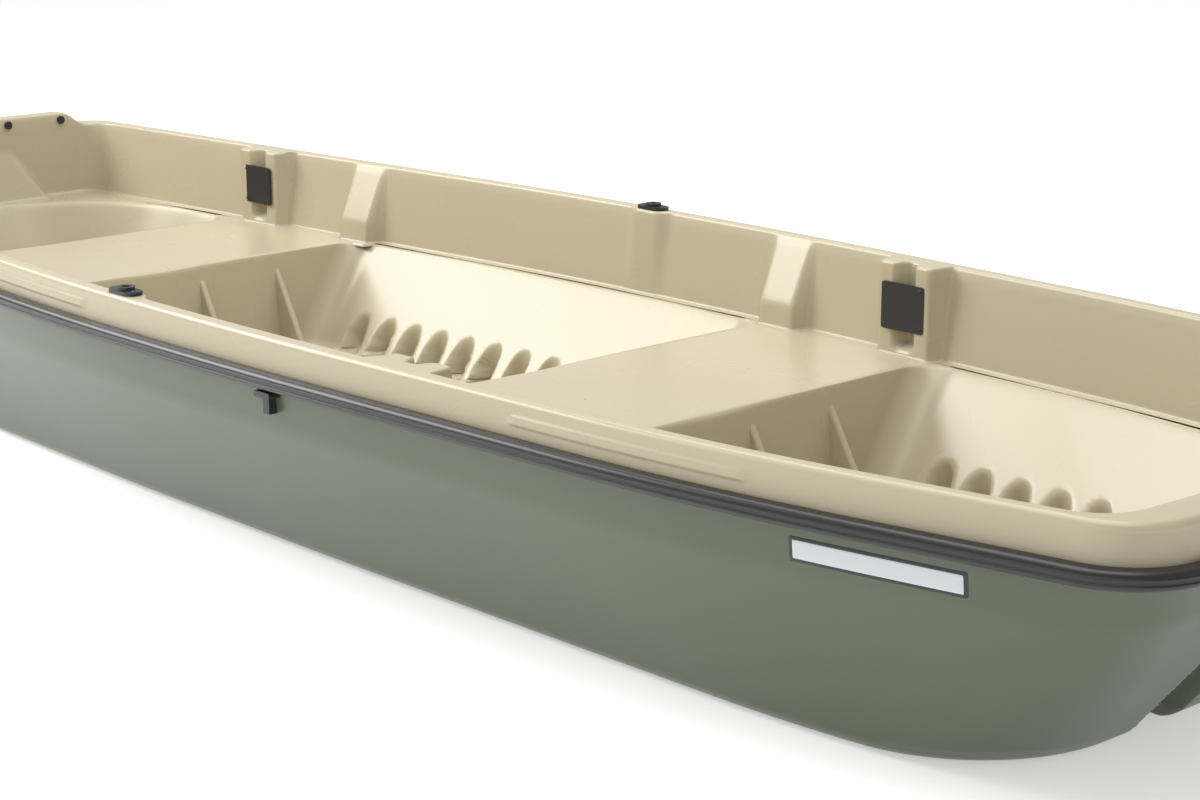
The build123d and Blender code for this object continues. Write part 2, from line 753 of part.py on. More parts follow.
def bow_eye():
    """A towing eye on the middle of the bow face: a round foot with a loop on it."""
    lean = (knuckle_corners[0].X - foot_corners[0].X) / knuckle_z
    face_x = foot_corners[0].X + lean * bow_eye_height
    across = Plane(origin=(face_x, 0, bow_eye_height), x_dir=(0, 1, 0), z_dir=(1, 0, -lean))
    foot = Cylinder(bow_eye_foot_radius, bow_eye_foot)
    loop = Pos(0, 0, bow_eye_foot / 2) * Rot(0, 90, 0) * Torus(bow_eye_radius, bow_eye_rod)
    return across * (foot + loop) - hull_skirt


nodes["bow_eye"] = bow_eye()

# ---------------------------------------------------------------- write one file per node
os.makedirs("parts", exist_ok=True)
for name, shape in nodes.items():
    export_step(shape, "parts/" + name + ".step")
    print(name, len(shape.solids()), round(shape.volume / 1000), "cm3")
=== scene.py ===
# %% [markdown]
# A twelve foot jon boat is two sheets of polyethylene, thermoformed and pinched together
# at the rim: a green outer hull and a tan liner, with a black vinyl rub rail over the seam.
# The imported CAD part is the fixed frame, so every surface below is laid over its nodes.

import math

import bpy
import bmesh
import numpy as np
from mathutils import Matrix, Vector


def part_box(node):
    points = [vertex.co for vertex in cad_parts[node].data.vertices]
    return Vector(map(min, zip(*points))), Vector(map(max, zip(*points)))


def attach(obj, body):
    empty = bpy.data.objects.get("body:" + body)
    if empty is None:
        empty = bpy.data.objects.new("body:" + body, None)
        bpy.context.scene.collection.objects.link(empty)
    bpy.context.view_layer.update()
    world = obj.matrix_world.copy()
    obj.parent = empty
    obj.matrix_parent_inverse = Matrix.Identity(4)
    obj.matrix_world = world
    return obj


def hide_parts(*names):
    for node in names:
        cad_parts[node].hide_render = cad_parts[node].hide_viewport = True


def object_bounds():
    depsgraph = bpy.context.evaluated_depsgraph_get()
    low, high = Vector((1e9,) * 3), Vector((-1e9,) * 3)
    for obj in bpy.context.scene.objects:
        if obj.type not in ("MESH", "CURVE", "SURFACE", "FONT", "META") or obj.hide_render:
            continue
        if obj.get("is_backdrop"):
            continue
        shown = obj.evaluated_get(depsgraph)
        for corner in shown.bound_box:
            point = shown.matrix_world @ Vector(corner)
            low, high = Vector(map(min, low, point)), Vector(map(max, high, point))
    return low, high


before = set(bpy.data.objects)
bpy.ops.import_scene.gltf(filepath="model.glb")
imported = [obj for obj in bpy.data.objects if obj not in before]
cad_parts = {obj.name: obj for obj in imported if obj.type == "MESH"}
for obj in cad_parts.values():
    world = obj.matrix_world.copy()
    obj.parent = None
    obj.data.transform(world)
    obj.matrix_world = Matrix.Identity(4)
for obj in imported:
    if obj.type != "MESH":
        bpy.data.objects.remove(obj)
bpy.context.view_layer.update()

# %% [markdown]
# The boat's outlines all have the same corners: the bow's middle, the bow corner, the
# shoulder, two corners along the side and the stern corner. Positions come from the boxes
# of the CAD nodes, and the remaining sizes are the moulding's own, in metres.

# %% Sizes
rail_low, rail_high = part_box("rub_rail")
socket_low, socket_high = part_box("oarlock_socket_port")
half_length = rail_high.x
half_beam = rail_high.y
gunwale = 0.385  # the flat top of the rim
transom_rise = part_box("gunwale_stern")[1].z - gunwale
seam = (rail_low.z + rail_high.z) / 2
deck = 0.228  # the ledge and the bench tops
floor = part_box("floor_pan")[1].z
knuckle = 0.250  # the crease under the hull's upright band
transom_inset = 0.023
transom = -half_length + transom_inset
stern_share, bow_share = 0.784, 0.742  # of the half beam
crown, crown_radius = 0.025, 4.0  # of the bow's middle
side_radius, middle_radius = 10.0, 6.5
rim_spacing, pit_spacing = 0.0065, 0.0055
print("half length", half_length, "half beam", half_beam, "seam", seam, "floor", floor)

# %% [markdown]
# Small tools for plan outlines. A ring is a closed polygon with its corners rounded, cut
# into the same number of points whatever its size, so that two rings at different heights
# pair up point by point.


# %% Rings
shoulder_station, fore_station, aft_station = 0.334, 0.092, -0.059  # of the length
shoulder_tuck = 0.27  # of what the beam loses towards the bow


def corners_of(half, stern_half, bow_half, stern_x, bow_x, sag):
    """Eleven corners of an outline, from the bow's middle round by port and back."""
    length = 2 * half_length
    side = [
        (bow_x - sag, bow_half),
        (shoulder_station * length, half - shoulder_tuck * (half - bow_half)),
        (fore_station * length, half),
        (aft_station * length, half),
        (stern_x, stern_half),
    ]
    twin = [(x, -y) for x, y in side[::-1]]
    return np.array([(bow_x, 0.0)] + side + twin)


def inset(corners, side, bow, stern):
    """Each edge moves in by its own distance; a corner is where its two moved edges meet."""
    ahead = np.roll(corners, -1, 0)
    along = ahead - corners
    along /= np.linalg.norm(along, axis=1, keepdims=True)
    inward = np.stack([-along[:, 1], along[:, 0]], 1)
    across = np.abs(along[:, 1]) > np.abs(along[:, 0])
    middle_x = (corners + ahead)[:, 0] / 2
    distance = np.where(across, np.where(middle_x > 0, bow, stern), side)
    start = corners + inward * distance[:, None]
    p1, d1 = np.roll(start, 1, 0), np.roll(along, 1, 0)
    cross = d1[:, 0] * along[:, 1] - d1[:, 1] * along[:, 0]
    gap = start - p1
    step = (gap[:, 0] * along[:, 1] - gap[:, 1] * along[:, 0]) / cross
    return p1 + d1 * step[:, None]


def ring(corners, radii, counts):
    """A rounded polygon: an arc of its radius at each corner, then a straight run on."""
    arcs, ends, starts = [], [], []
    for index in range(len(corners)):
        here = corners[index]
        back = corners[index - 1] - here
        ahead = corners[(index + 1) % len(corners)] - here
        back /= np.linalg.norm(back)
        ahead /= np.linalg.norm(ahead)
        half = math.acos(float(np.clip(back @ ahead, -1, 1))) / 2
        reach = radii[index] / math.tan(half)
        begin, finish = here + back * reach, here + ahead * reach
        halfway = (back + ahead) / np.linalg.norm(back + ahead)
        middle = here + halfway * radii[index] / math.sin(half)
        first = math.atan2(*(begin - middle)[::-1])
        turn = math.atan2(*(finish - middle)[::-1]) - first
        turn = (turn + math.pi) % (2 * math.pi) - math.pi
        angle = first + turn * np.linspace(0, 1, counts[index][0], endpoint=False)
        arcs.append(middle + radii[index] * np.stack([np.cos(angle), np.sin(angle)], 1))
        starts.append(begin)
        ends.append(finish)
    parts = []
    for index in range(len(corners)):
        target = starts[(index + 1) % len(corners)]
        share = np.linspace(0, 1, counts[index][1], endpoint=False)[:, None]
        parts += [arcs[index], ends[index] * (1 - share) + target * share]
    return np.vstack(parts)


def count_points(corners, radii, step):
    """How many points each corner's arc and the run after it take at one spacing."""
    counts, reach, sweep = [], [], []
    size = len(corners)
    for index in range(size):
        back = corners[index - 1] - corners[index]
        ahead = corners[(index + 1) % size] - corners[index]
        cosine = back @ ahead / np.linalg.norm(back) / np.linalg.norm(ahead)
        half = math.acos(float(np.clip(cosine, -1, 1))) / 2
        reach.append(radii[index] / math.tan(half))
        sweep.append(radii[index] * (math.pi - 2 * half))
    for index in range(size):
        after = (index + 1) % size
        run = np.linalg.norm(corners[after] - corners[index]) - reach[index] - reach[after]
        counts.append((max(10, round(sweep[index] / step)), max(2, round(run / step))))
    return counts


def even_inset(corners, distance):
    """All the edges move in by one distance."""
    return inset(corners, distance, distance, distance)


def radii_of(stern, bow, shoulder=3.4):
    """The radii that go with the eleven corners."""
    half = [bow, shoulder, side_radius, middle_radius, stern]
    return [crown_radius] + half + half[::-1]


def beam_at(corners, x):
    """Half the beam of an outline's port side at a station."""
    side = corners[1:6][::-1]
    return np.interp(x, side[:, 0], side[:, 1])


crown_cut = crown_radius * (1 / math.cos(math.atan2(crown, bow_share * half_beam)) - 1)
rail_corners = corners_of(half_beam, stern_share * half_beam, bow_share * half_beam,
                          -half_length, half_length + crown_cut, crown)
bottom_half, bottom_stern_half, bottom_bow_half = 0.446, 0.400, 0.395
bow_rake, bottom_crown = 0.268, 0.0083
foot_corners = corners_of(bottom_half, bottom_stern_half, bottom_bow_half,
                          transom, half_length - bow_rake, bottom_crown)
rail_stern_radius, rail_bow_radius = 0.090, 0.130
loop_counts = count_points(rail_corners, radii_of(rail_stern_radius, rail_bow_radius),
                           rim_spacing)
print("points round the rim", sum(a + b for a, b in loop_counts))

# %% [markdown]
# Surfaces are grids: one ring of points per row, rows joined by quads. One function builds
# the mesh from the whole array, welds what coincides, turns the faces outward and lets the
# piece ride on the boat. Windows and steps are the soft switches that shape bumps.


# %% Grids and soft steps
def soft(value):
    """A step from 0 to 1 with level ends: 3 t squared minus 2 t cubed."""
    t = np.clip(value, 0, 1)
    return t * t * (3 - 2 * t)


def window(value, half, edge):
    """1 inside plus or minus half, 0 outside, with a soft edge of its own width."""
    return soft((half + edge / 2 - np.abs(value)) / edge)


def arc(radius, count, start, stop):
    """Points on a circle's arc between two angles in degrees, as two columns."""
    angle = np.radians(np.linspace(start, stop, count))
    return radius * np.cos(angle), radius * np.sin(angle)


def grid_piece(name, grid, materials, nodes=(), closed=True):
    """A mesh from rows of points; each row is a closed ring unless told otherwise."""
    rows, columns = grid.shape[:2]
    wrap = columns if closed else columns - 1
    row, column = np.meshgrid(np.arange(rows - 1), np.arange(wrap), indexing="ij")
    ahead = (column + 1) % columns
    quads = np.stack([row * columns + column, row * columns + ahead,
                      (row + 1) * columns + ahead, (row + 1) * columns + column], -1)
    return mesh_piece(name, grid.reshape(-1, 3), quads.reshape(-1, 4), materials, nodes)


def mesh_piece(name, points, faces, materials, nodes=()):
    """A smooth-shaded object from arrays of points and faces, riding on the boat."""
    mesh = bpy.data.meshes.new(name)
    mesh.from_pydata(points.tolist(), [], faces.tolist())
    work = bmesh.new()
    work.from_mesh(mesh)
    bmesh.ops.remove_doubles(work, verts=work.verts, dist=1e-5)
    bmesh.ops.dissolve_degenerate(work, edges=work.edges, dist=1e-6)
    bmesh.ops.recalc_face_normals(work, faces=work.faces)
    work.to_mesh(mesh)
    work.free()
    mesh.polygons.foreach_set("use_smooth", [True] * len(mesh.polygons))
    piece = bpy.data.objects.new(name, mesh)
    bpy.context.scene.collection.objects.link(piece)
    for material in materials:
        mesh.materials.append(material)
    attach(piece, "root")
    if nodes:
        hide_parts(*nodes)
    print(name, len(mesh.vertices), "points", len(mesh.polygons), "faces")
    return piece


def face_up(piece):
    """Turns an open sheet over if most of it looks down."""
    normals = np.zeros(len(piece.data.polygons) * 3)
    piece.data.polygons.foreach_get("normal", normals)
    areas = np.zeros(len(piece.data.polygons))
    piece.data.polygons.foreach_get("area", areas)
    if (normals.reshape(-1, 3)[:, 2] * areas).sum() < 0:
        piece.data.flip_normals()


# %% [markdown]
# Finishes. Each colour is a swatch of the real material in sRGB, turned linear by one
# function. Moulded polyethylene is a half-gloss skin (index 1.51) with a faint orange-peel
# a few millimetres across where the hot sheet touched the tool, and a slow colour drift.


# %% Materials
def linear(swatch):
    """An sRGB hex swatch as linear red, green, blue, alpha."""
    parts = np.array([int(swatch[i:i + 2], 16) for i in (0, 2, 4)]) / 255
    low, high = parts / 12.92, ((parts + 0.055) / 1.055) ** 2.4
    return tuple(np.where(parts <= 0.04045, low, high)) + (1.0,)


def node(tree, kind, settings, links):
    """One shader node with its values set and its inputs linked."""
    made = tree.nodes.new(kind)
    for key, value in settings.items():
        if key in made.inputs:
            made.inputs[key].default_value = value
        else:
            setattr(made, key, value)
    for key, source in links.items():
        tree.links.new(source, made.inputs[key])
    return made


def plastic(name, swatch, deep, roughness, peel, peel_size=0.004, index=1.51, drift=0.5):
    """A moulded plastic: two swatches mixed by slow noise, mottled gloss and orange-peel."""
    material = bpy.data.materials.new(name)
    material.use_nodes = True
    tree = material.node_tree
    tree.nodes.clear()
    place = node(tree, "ShaderNodeTexCoord", {}, {}).outputs["Object"]
    slow = node(tree, "ShaderNodeTexNoise", {"Scale": 1 / drift, "Detail": 3.0},
                {"Vector": place})
    tint = node(tree, "ShaderNodeMix", {"data_type": "RGBA"}, {"Factor": slow.outputs["Fac"]})
    tint.inputs[6].default_value = linear(swatch)
    tint.inputs[7].default_value = linear(deep)
    mottle = node(tree, "ShaderNodeTexNoise", {"Scale": 4.0, "Detail": 2.0}, {"Vector": place})
    gloss = node(tree, "ShaderNodeMapRange",
                 {"To Min": roughness - 0.015, "To Max": roughness + 0.025},
                 {"Value": mottle.outputs["Fac"]})
    fine = node(tree, "ShaderNodeTexNoise", {"Scale": 1 / peel_size, "Detail": 2.0},
                {"Vector": place})
    bump = node(tree, "ShaderNodeBump", {"Strength": peel, "Distance": 0.0006},
                {"Height": fine.outputs["Fac"]})
    skin = node(tree, "ShaderNodeBsdfPrincipled", {"IOR": index},
                {"Base Color": tint.outputs[2], "Roughness": gloss.outputs["Result"],
                 "Normal": bump.outputs["Normal"]})
    node(tree, "ShaderNodeOutputMaterial", {}, {"Surface": skin.outputs["BSDF"]})
    return material


green = plastic("green_polyethylene", "4e5542", "4b523f", 0.32, 0.05)
tan = plastic("tan_polyethylene", "b3a98f", "afa58b", 0.27, 0.05)
vinyl = plastic("black_vinyl", "161618", "111214", 0.34, 0.06, index=1.53)
black = plastic("black_nylon", "17181a", "1d1e20", 0.42, 0.20, peel_size=0.0015, index=1.53)
paper = plastic("pale_vinyl_film", "c6c7c9", "bfc1c3", 0.28, 0.02, index=1.49)
slots = {"green_plastic": green, "tan_plastic": tan, "rail_vinyl": vinyl,
         "black_plastic": black, "label": paper}
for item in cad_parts.values():
    for holder in item.material_slots:
        for key, finish in slots.items():
            if holder.material and key in holder.material.name:
                holder.material = finish
                break
print("finishes", sorted(slots))

# %% [markdown]
# The liner's rim in one sweep: from the seam flange up the leaning outer face, over the
# flat gunwale, round the inner edge and down the cockpit wall to the ledge. The wall is
# pushed inward for the rod bosses, the wedge pilasters, the oarlock bosses and the apron
# under the motor, and the middle of the transom is raised.


# %% Liner rim
boss_x = [sum(corner.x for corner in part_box(name)) / 2
          for name in ("rod_pad_aft_port", "rod_pad_forward_port")]
pilaster_x = (-0.830, 0.330)
oarlock_x = (socket_low.x + socket_high.x) / 2
grip_spans = ((-0.520, -0.125), (0.885, 1.280))
wall_lean = 0.022
edge_radius = 0.007  # gunwale to cockpit wall
crest_radius = 0.009  # outer face to gunwale
foot_radius = 0.006  # cockpit wall to ledge
foot_tuck, foot_sink = 0.0085, 0.006  # the rim's last row goes under the deck sheet
cap_inset = 0.030
cap_foot = even_inset(rail_corners, 0.0235)
cap_top = even_inset(rail_corners, cap_inset)
cap_radii, wall_radii = radii_of(0.067, 0.107), radii_of(0.060, 0.075)
crest_radii = radii_of(0.060, 0.100)
cockpit_top = inset(rail_corners, 0.058, 0.092, 0.075)
ledge_loop = inset(rail_corners, 0.080, 0.112, 0.075)
boss_stand, boss_half = 0.0465, 0.0615
groove_depth, groove_half, groove_foot = 0.026, 0.018, 0.238
pilaster_stand, pilaster_half, pilaster_height = 0.040, 0.046, 0.115
swell_stand, swell_half = 0.016, 0.040
grip_height, grip_half, grip_proud = 0.3585, 0.0065, 0.0022
apron_top, apron_height, apron_stand = 0.338, 0.110, 0.034


def blend_rings(low, high, share, radii_low, radii_high):
    """A ring part of the way between two sets of corners and radii."""
    corners = low * (1 - share) + high * share
    radii = [a * (1 - share) + b * share for a, b in zip(radii_low, radii_high)]
    return ring(corners, radii, loop_counts)


def wall_push(x, y, z):
    """How far the cockpit wall stands in towards the middle at a point, in metres."""
    back = wall_lean * (gunwale - z) / (gunwale - deck)
    push = np.zeros_like(x)
    for station in boss_x:
        boss = (boss_stand - back) * window(x - station, boss_half, 0.010)
        groove = groove_depth * window(x - station, groove_half, 0.012)
        push = np.maximum(push, boss - groove * soft((z - groove_foot) / 0.008))
    for station in pilaster_x:
        wedge = pilaster_stand * np.clip((gunwale - z) / pilaster_height, 0, 1) - 0.5 * back
        push = np.maximum(push, wedge * window(x - station, pilaster_half, 0.012))
    swell = np.maximum(swell_stand - 0.6 * back, 0)
    return np.maximum(push, swell * window(x - oarlock_x, swell_half, 0.034))


def grip(x, z):
    """A low rib pressed out of the rim's outer face, long and narrow with soft ends."""
    along = sum(window(x - (rear + front) / 2, (front - rear) / 2, 0.012)
                for rear, front in grip_spans)
    return grip_proud * along * window(z - grip_height, grip_half, 0.003)


def transom_push(y, z):
    """How far the apron stands forward of the transom's inner face."""
    drop = np.clip((apron_top - z) / apron_height, 0, 1)
    return apron_stand * drop * window(y, 0.200 + 0.086 * drop, 0.012)


def rim_grid():
    """Rows of the rim's profile, each a ring at its own inset and height."""
    outer, top, inner = 0, 1, 2
    rows = []
    for share in np.linspace(0, 1, 26)[:-1]:
        z = seam + (gunwale - crest_radius - seam) * share
        rows.append((blend_rings(cap_foot, cap_top, share, cap_radii, cap_radii), z, outer))
    for dx, dz in zip(*arc(crest_radius, 7, 180, 90)):
        loop = ring(even_inset(rail_corners, cap_inset + crest_radius + dx), crest_radii,
                    loop_counts)
        rows.append((loop, gunwale - crest_radius + dz, top))
    for share in (0.15, 0.35, 0.55):
        loop = blend_rings(even_inset(rail_corners, 0.040), cockpit_top, share,
                           crest_radii, wall_radii)
        rows.append((loop, gunwale, top))
    for dx, dz in zip(*arc(edge_radius, 6, 90, 0)):
        loop = ring(even_inset(cockpit_top, dx - edge_radius), wall_radii, loop_counts)
        rows.append((loop, gunwale - edge_radius + dz, inner))
    for z in np.linspace(gunwale - edge_radius, deck + foot_radius, 22)[1:]:
        share = (gunwale - z) / (gunwale - deck)
        rows.append((blend_rings(cockpit_top, ledge_loop, share, wall_radii, wall_radii),
                     z, inner))
    share = (gunwale - deck - foot_radius) / (gunwale - deck)
    base = cockpit_top * (1 - share) + ledge_loop * share
    for dx, dz in list(zip(*arc(foot_radius, 6, 180, 270)))[1:]:
        rows.append((ring(even_inset(base, foot_radius + dx), wall_radii, loop_counts),
                     deck + foot_radius + dz, inner))
    loop = ring(even_inset(base, foot_tuck), wall_radii, loop_counts)
    rows.append((loop, deck - foot_sink, inner))
    grid = np.zeros((len(rows), len(rows[0][0]), 3))
    for index, (loop, z, face) in enumerate(rows):
        x, y = loop[:, 0].copy(), loop[:, 1].copy()
        height = np.full(len(x), z)
        stern = soft((-half_length + 0.13 - x) / 0.02)
        lift = transom_rise * soft((0.402 - np.abs(y)) / 0.058) * stern
        height += lift * soft((z - (gunwale - 0.012)) / 0.010)
        if face == outer:
            y += np.sign(y) * grip(x, z) * (np.abs(y) > 0.45)
        if face == inner:
            side = soft((np.abs(y) - 0.20) / 0.05) * (np.abs(x) < 1.6)
            y -= np.sign(y) * wall_push(x, y, height) * side
            x += transom_push(y, height) * (x < -1.6)
        grid[index] = np.stack([x, y, height], 1)
    return grid


rim = grid_piece("liner_rim", rim_grid(), [tan],
                 ("gunwale_port", "gunwale_starboard", "gunwale_bow", "gunwale_stern",
                  "side_wall_port", "side_wall_starboard"))
face_up(rim)

# %% [markdown]
# Below the ledge the liner is a deck with three pits in it, and what is left between the
# pits are the two benches. Each pit is swept round its own rounded outline: deck, soft
# edge, sloping wall, a wide fillet and the ribbed floor. Round niches run along the foot
# of the side walls, so that the sheet stays stiff where it is widest.


# %% Pits, benches and floor
well_top = inset(rail_corners, 0.095, 0.205, 0.105)
well_foot = inset(foot_corners, 0.076, 0.112, 0.190)
under = inset(rail_corners, 0.074, 0.106, 0.068)
sheet = deck - 0.0008  # the deck sheet lies just under the ledge
wall_run = 0.018  # what the benches' faces lean, top to floor
lip_radius, fillet_radius = 0.012, 0.030
aft_bench = (-1.235, -0.835)
fore_bench = (0.283, 0.683)
flute_pitch, niche_radius = 0.079, 0.0225
wall_slope, niche_height = 0.81, 0.072
floor_rows = 26


def flute_row(start, stop):
    """Evenly spaced stations between two ends, a flute's pitch apart."""
    count = int((stop - start) // flute_pitch) + 1
    return (start + stop) / 2 + (np.arange(count) - (count - 1) / 2) * flute_pitch


flutes = np.concatenate([flute_row(-0.725, 0.173), flute_row(0.793, 1.303)])


def flute_gap(x):
    """The distance from each station to the nearest flute."""
    return np.abs(x[:, None] - flutes[None, :]).min(1)


def niche(x, height):
    """How far a niche's round back lies outside the sloping wall, at a station and height."""
    gap = flute_gap(x)
    round_back = np.sqrt(np.maximum(niche_radius ** 2 - gap ** 2, 0))
    back = wall_slope * niche_height - niche_radius + round_back
    depth = np.maximum(back - wall_slope * height, 0)
    return depth * window(gap, niche_radius, 0.006)


def pit_grid(rear, front, kind, radii_edge, radii_top, radii_foot, rim_x, spine):
    """Rows of one pit, from the deck round it to the spine of its floor."""
    def closed(outline, low_x, high_x):
        """The pit's corners on one outline, port side first, then their twins."""
        if kind == "bow":
            side = [tuple(outline[1]), tuple(outline[2])]
        else:
            side = [(high_x, beam_at(outline, high_x))]
        if kind == "middle":
            side.append(tuple(outline[4]))
        side.append((low_x, beam_at(outline, low_x)) if kind != "stern" else tuple(outline[5]))
        nose = [tuple(outline[0])] if kind == "bow" else []
        return np.array(nose + side + [(x, -y) for x, y in side[::-1]])

    top = closed(well_top, rear, front)
    foot = closed(well_foot, rear and rear + wall_run, front and front - wall_run)
    edge = closed(under, *rim_x)
    counts = count_points(top, radii_top, pit_spacing)
    edge_ring, top_ring = ring(edge, radii_edge, counts), ring(top, radii_top, counts)
    foot_ring = ring(foot, radii_foot, counts)
    level = np.full(len(edge_ring), sheet)
    rows = [(edge_ring, level)]
    for share in (0.25, 0.5, 0.75, 0.93):
        rows.append((edge_ring * (1 - share) + top_ring * share, level))
    run = np.linalg.norm(foot_ring - top_ring, axis=1, keepdims=True)
    inward = (foot_ring - top_ring) / run
    steep = np.arctan2(deck - floor, run)
    for step in np.linspace(0, 1, 6):
        angle = steep * step
        out = lip_radius * np.sin(angle) - lip_radius * np.tan(steep / 2)
        down = lip_radius * (1 - np.cos(angle))
        rows.append((top_ring + inward * out, sheet - down[:, 0]))
    first = lip_radius * np.tan(steep / 2) * np.cos(steep)
    last = fillet_radius * np.tan(steep / 2) * np.cos(steep)
    for step in np.linspace(0, 1, 26)[1:-1]:
        out = first + (run - last - first) * step
        rows.append((top_ring + inward * out, deck - (out * np.tan(steep))[:, 0]))
    for step in np.linspace(1, 0, 7):
        angle = steep * step
        out = run + fillet_radius * np.tan(steep / 2) - fillet_radius * np.sin(angle)
        up = fillet_radius * (1 - np.cos(angle))
        rows.append((top_ring + inward * out, floor + up[:, 0]))
    last_ring = rows[-1][0]
    flat = np.full(len(last_ring), floor)
    spine_ring = np.stack([np.clip(last_ring[:, 0], *spine), np.zeros(len(last_ring))], 1)
    for step in np.linspace(0, 1, floor_rows)[1:]:
        rows.append((last_ring * (1 - step) + spine_ring * step, flat))
    grid = np.zeros((len(rows), len(edge_ring), 3))
    for index, (loop, height) in enumerate(rows):
        x, y = loop[:, 0].copy(), loop[:, 1].copy()
        on_side = soft((np.abs(y) - 0.20) / 0.05)
        wall = (height < deck - 0.05) & (index < len(rows) - floor_rows + 1)
        y += np.sign(y) * niche(x, height - floor) * on_side * wall
        groove = 0.004 * window(flute_gap(x), 0.021, 0.010)
        groove = groove * soft((beam_at(well_foot, x) - 0.030 - np.abs(y)) / 0.02)
        z = height - groove * soft((floor + 0.004 - height) / 0.004)
        grid[index] = np.stack([x, y, z], 1)
    return grid


def mirrored(nose, side):
    """Corner radii for both sides of a pit, from the middle's own and the port side's."""
    return nose + side + side[::-1]


tight, bench_corner = 0.012, 0.060
aft_middle, fore_middle = sum(aft_bench) / 2, sum(fore_bench) / 2
stern_pit = grid_piece(
    "stern_pit",
    pit_grid(None, aft_bench[0], "stern", mirrored([], [tight, 0.070]),
             mirrored([], [bench_corner, 0.380]), mirrored([], [bench_corner, 0.190]),
             (None, aft_middle), (-1.50, -1.36)),
    [tan], ("stern_deck", "aft_bench"))
middle_top = mirrored([], [bench_corner, middle_radius, bench_corner])
middle_pit = grid_piece(
    "middle_pit",
    pit_grid(aft_bench[1], fore_bench[0], "middle",
             mirrored([], [tight, middle_radius, tight]), middle_top, middle_top,
             (aft_middle, fore_middle), (-0.55, 0.0)),
    [tan], ("floor_pan",))
bow_pit = grid_piece(
    "bow_pit",
    pit_grid(fore_bench[1], None, "bow", mirrored([crown_radius], [0.095, 3.4, tight]),
             mirrored([crown_radius], [0.170, 3.4, bench_corner]),
             mirrored([crown_radius], [0.150, 1.5, bench_corner]),
             (fore_middle, None), (0.98, 1.25)),
    [tan], ("bow_liner", "forward_bench"))
for piece in (stern_pit, middle_pit, bow_pit):
    face_up(piece)

# %% [markdown]
# Thin fins lean against the forward face of each bench, to stop the tall face from
# buckling. Each is a leaning triangle with rounded edges, and its foot stands on the floor.


# %% Bench fins
fin_reach, fin_radius = 0.100, 0.007
fin_places = (-0.274, -0.093, 0.093, 0.274)


def fin_grid(face_x, y):
    """A fin as rows up its sloping edge; the section across is a round-nosed strip."""
    rows = 30
    share = np.linspace(0, 1, rows)
    z = floor - 0.002 + (deck - 0.014 - floor) * share
    nose = face_x + fin_reach * (1 - share) - 0.006 * share
    angle = np.radians(np.linspace(-90, 90, 13))
    across = fin_radius * np.sin(angle)
    back = fin_radius * (np.cos(angle) - 1)
    across = np.concatenate([[-0.010], across, [0.010]])
    back = np.concatenate([[-0.140], back, [-0.140]])
    grid = np.zeros((rows, len(across), 3))
    flare = 1 + 0.9 * np.exp(-(z - floor) / 0.010)
    grid[:, :, 0] = np.maximum(nose[:, None] + back[None, :], face_x - 0.030)
    grid[:, :, 1] = y + across[None, :] * flare[:, None]
    grid[:, :, 2] = z[:, None]
    cap = grid[-1:].copy()
    cap[:, :, 1] = y
    cap[:, :, 2] += 0.003
    return np.concatenate([grid, cap])


for title, front in (("aft", aft_bench[1]), ("forward", fore_bench[1])):
    for number, place in enumerate(fin_places):
        grid_piece(f"fin_{title}_{number + 1}", fin_grid(front, place), [tan], (),
                   closed=False)

# %% [markdown]
# The green hull, swept from the seam down: an upright band, a crease, flared topsides, a
# round chine and the bottom. Two channels run under the bottom and up the bow face; they
# leave three runners that carry the boat when it is dragged.


# %% Hull
knuckle_loop = inset(rail_corners, 0.030, 0.062, transom + half_length)
flange_loop = inset(rail_corners, 0.023, 0.023, transom + half_length)
chine_radius = 0.022
channel_middle, channel_half, channel_depth, channel_reach = 0.096, 0.044, 0.012, 0.034
band_rows = 12


def hull_grid():
    """Rows from the seam to the keel line, with the channels pressed in."""
    rows = []
    crease_radii = radii_of(0.060, 0.160)
    foot_radii = radii_of(0.060, 0.230, 2.0)
    for share in np.linspace(0, 0.94, band_rows):
        z = seam - 0.004 + (knuckle - seam + 0.004) * share
        rows.append((blend_rings(flange_loop, knuckle_loop, share, cap_radii, crease_radii), z))
    for share in np.concatenate([[0.02, 0.06], np.linspace(0.12, 0.90, 30)]):
        z = knuckle * (1 - share)
        rows.append((blend_rings(knuckle_loop, foot_corners, share, crease_radii, foot_radii), z))
    for turn in np.linspace(90, 0, 9):
        angle = math.radians(turn)
        z = chine_radius * (1 - math.cos(angle))
        tuck = chine_radius * (1 - math.sin(angle))
        base = foot_corners + (knuckle_loop - foot_corners) * (z / knuckle)
        rows.append((ring(even_inset(base, tuck), foot_radii, loop_counts), z))
    last = rows[-1][0]
    keel = np.stack([np.clip(last[:, 0], -1.6, 1.35), np.zeros(len(last))], 1)
    for share in np.linspace(0, 1, 14)[1:]:
        rows.append((last * (1 - share) + keel * share, 0.0))
    grid = np.zeros((len(rows), len(last), 3))
    for index, (loop, height) in enumerate(rows):
        x, y = loop[:, 0].copy(), loop[:, 1].copy()
        channel = window(np.abs(y) - channel_middle, channel_half, 0.014)
        under_bottom = soft((0.030 - height) / 0.02)
        z = height + channel_depth * channel * under_bottom
        bow_face = soft((x - 1.3) / 0.1) * soft((0.264 - height) / 0.07)
        x -= channel_reach * channel * bow_face * (1 - 0.5 * under_bottom)
        grid[index] = np.stack([x, y, z], 1)
    return grid


hull_rows = hull_grid()
grid_piece("hull_shell", hull_rows, [green], ("outer_hull",))

# %% [markdown]
# The rub rail is extruded vinyl, a C in section that grips both flanges. It is bent round
# the corners hot, so it keeps one section all the way; its outer face has a shallow groove.


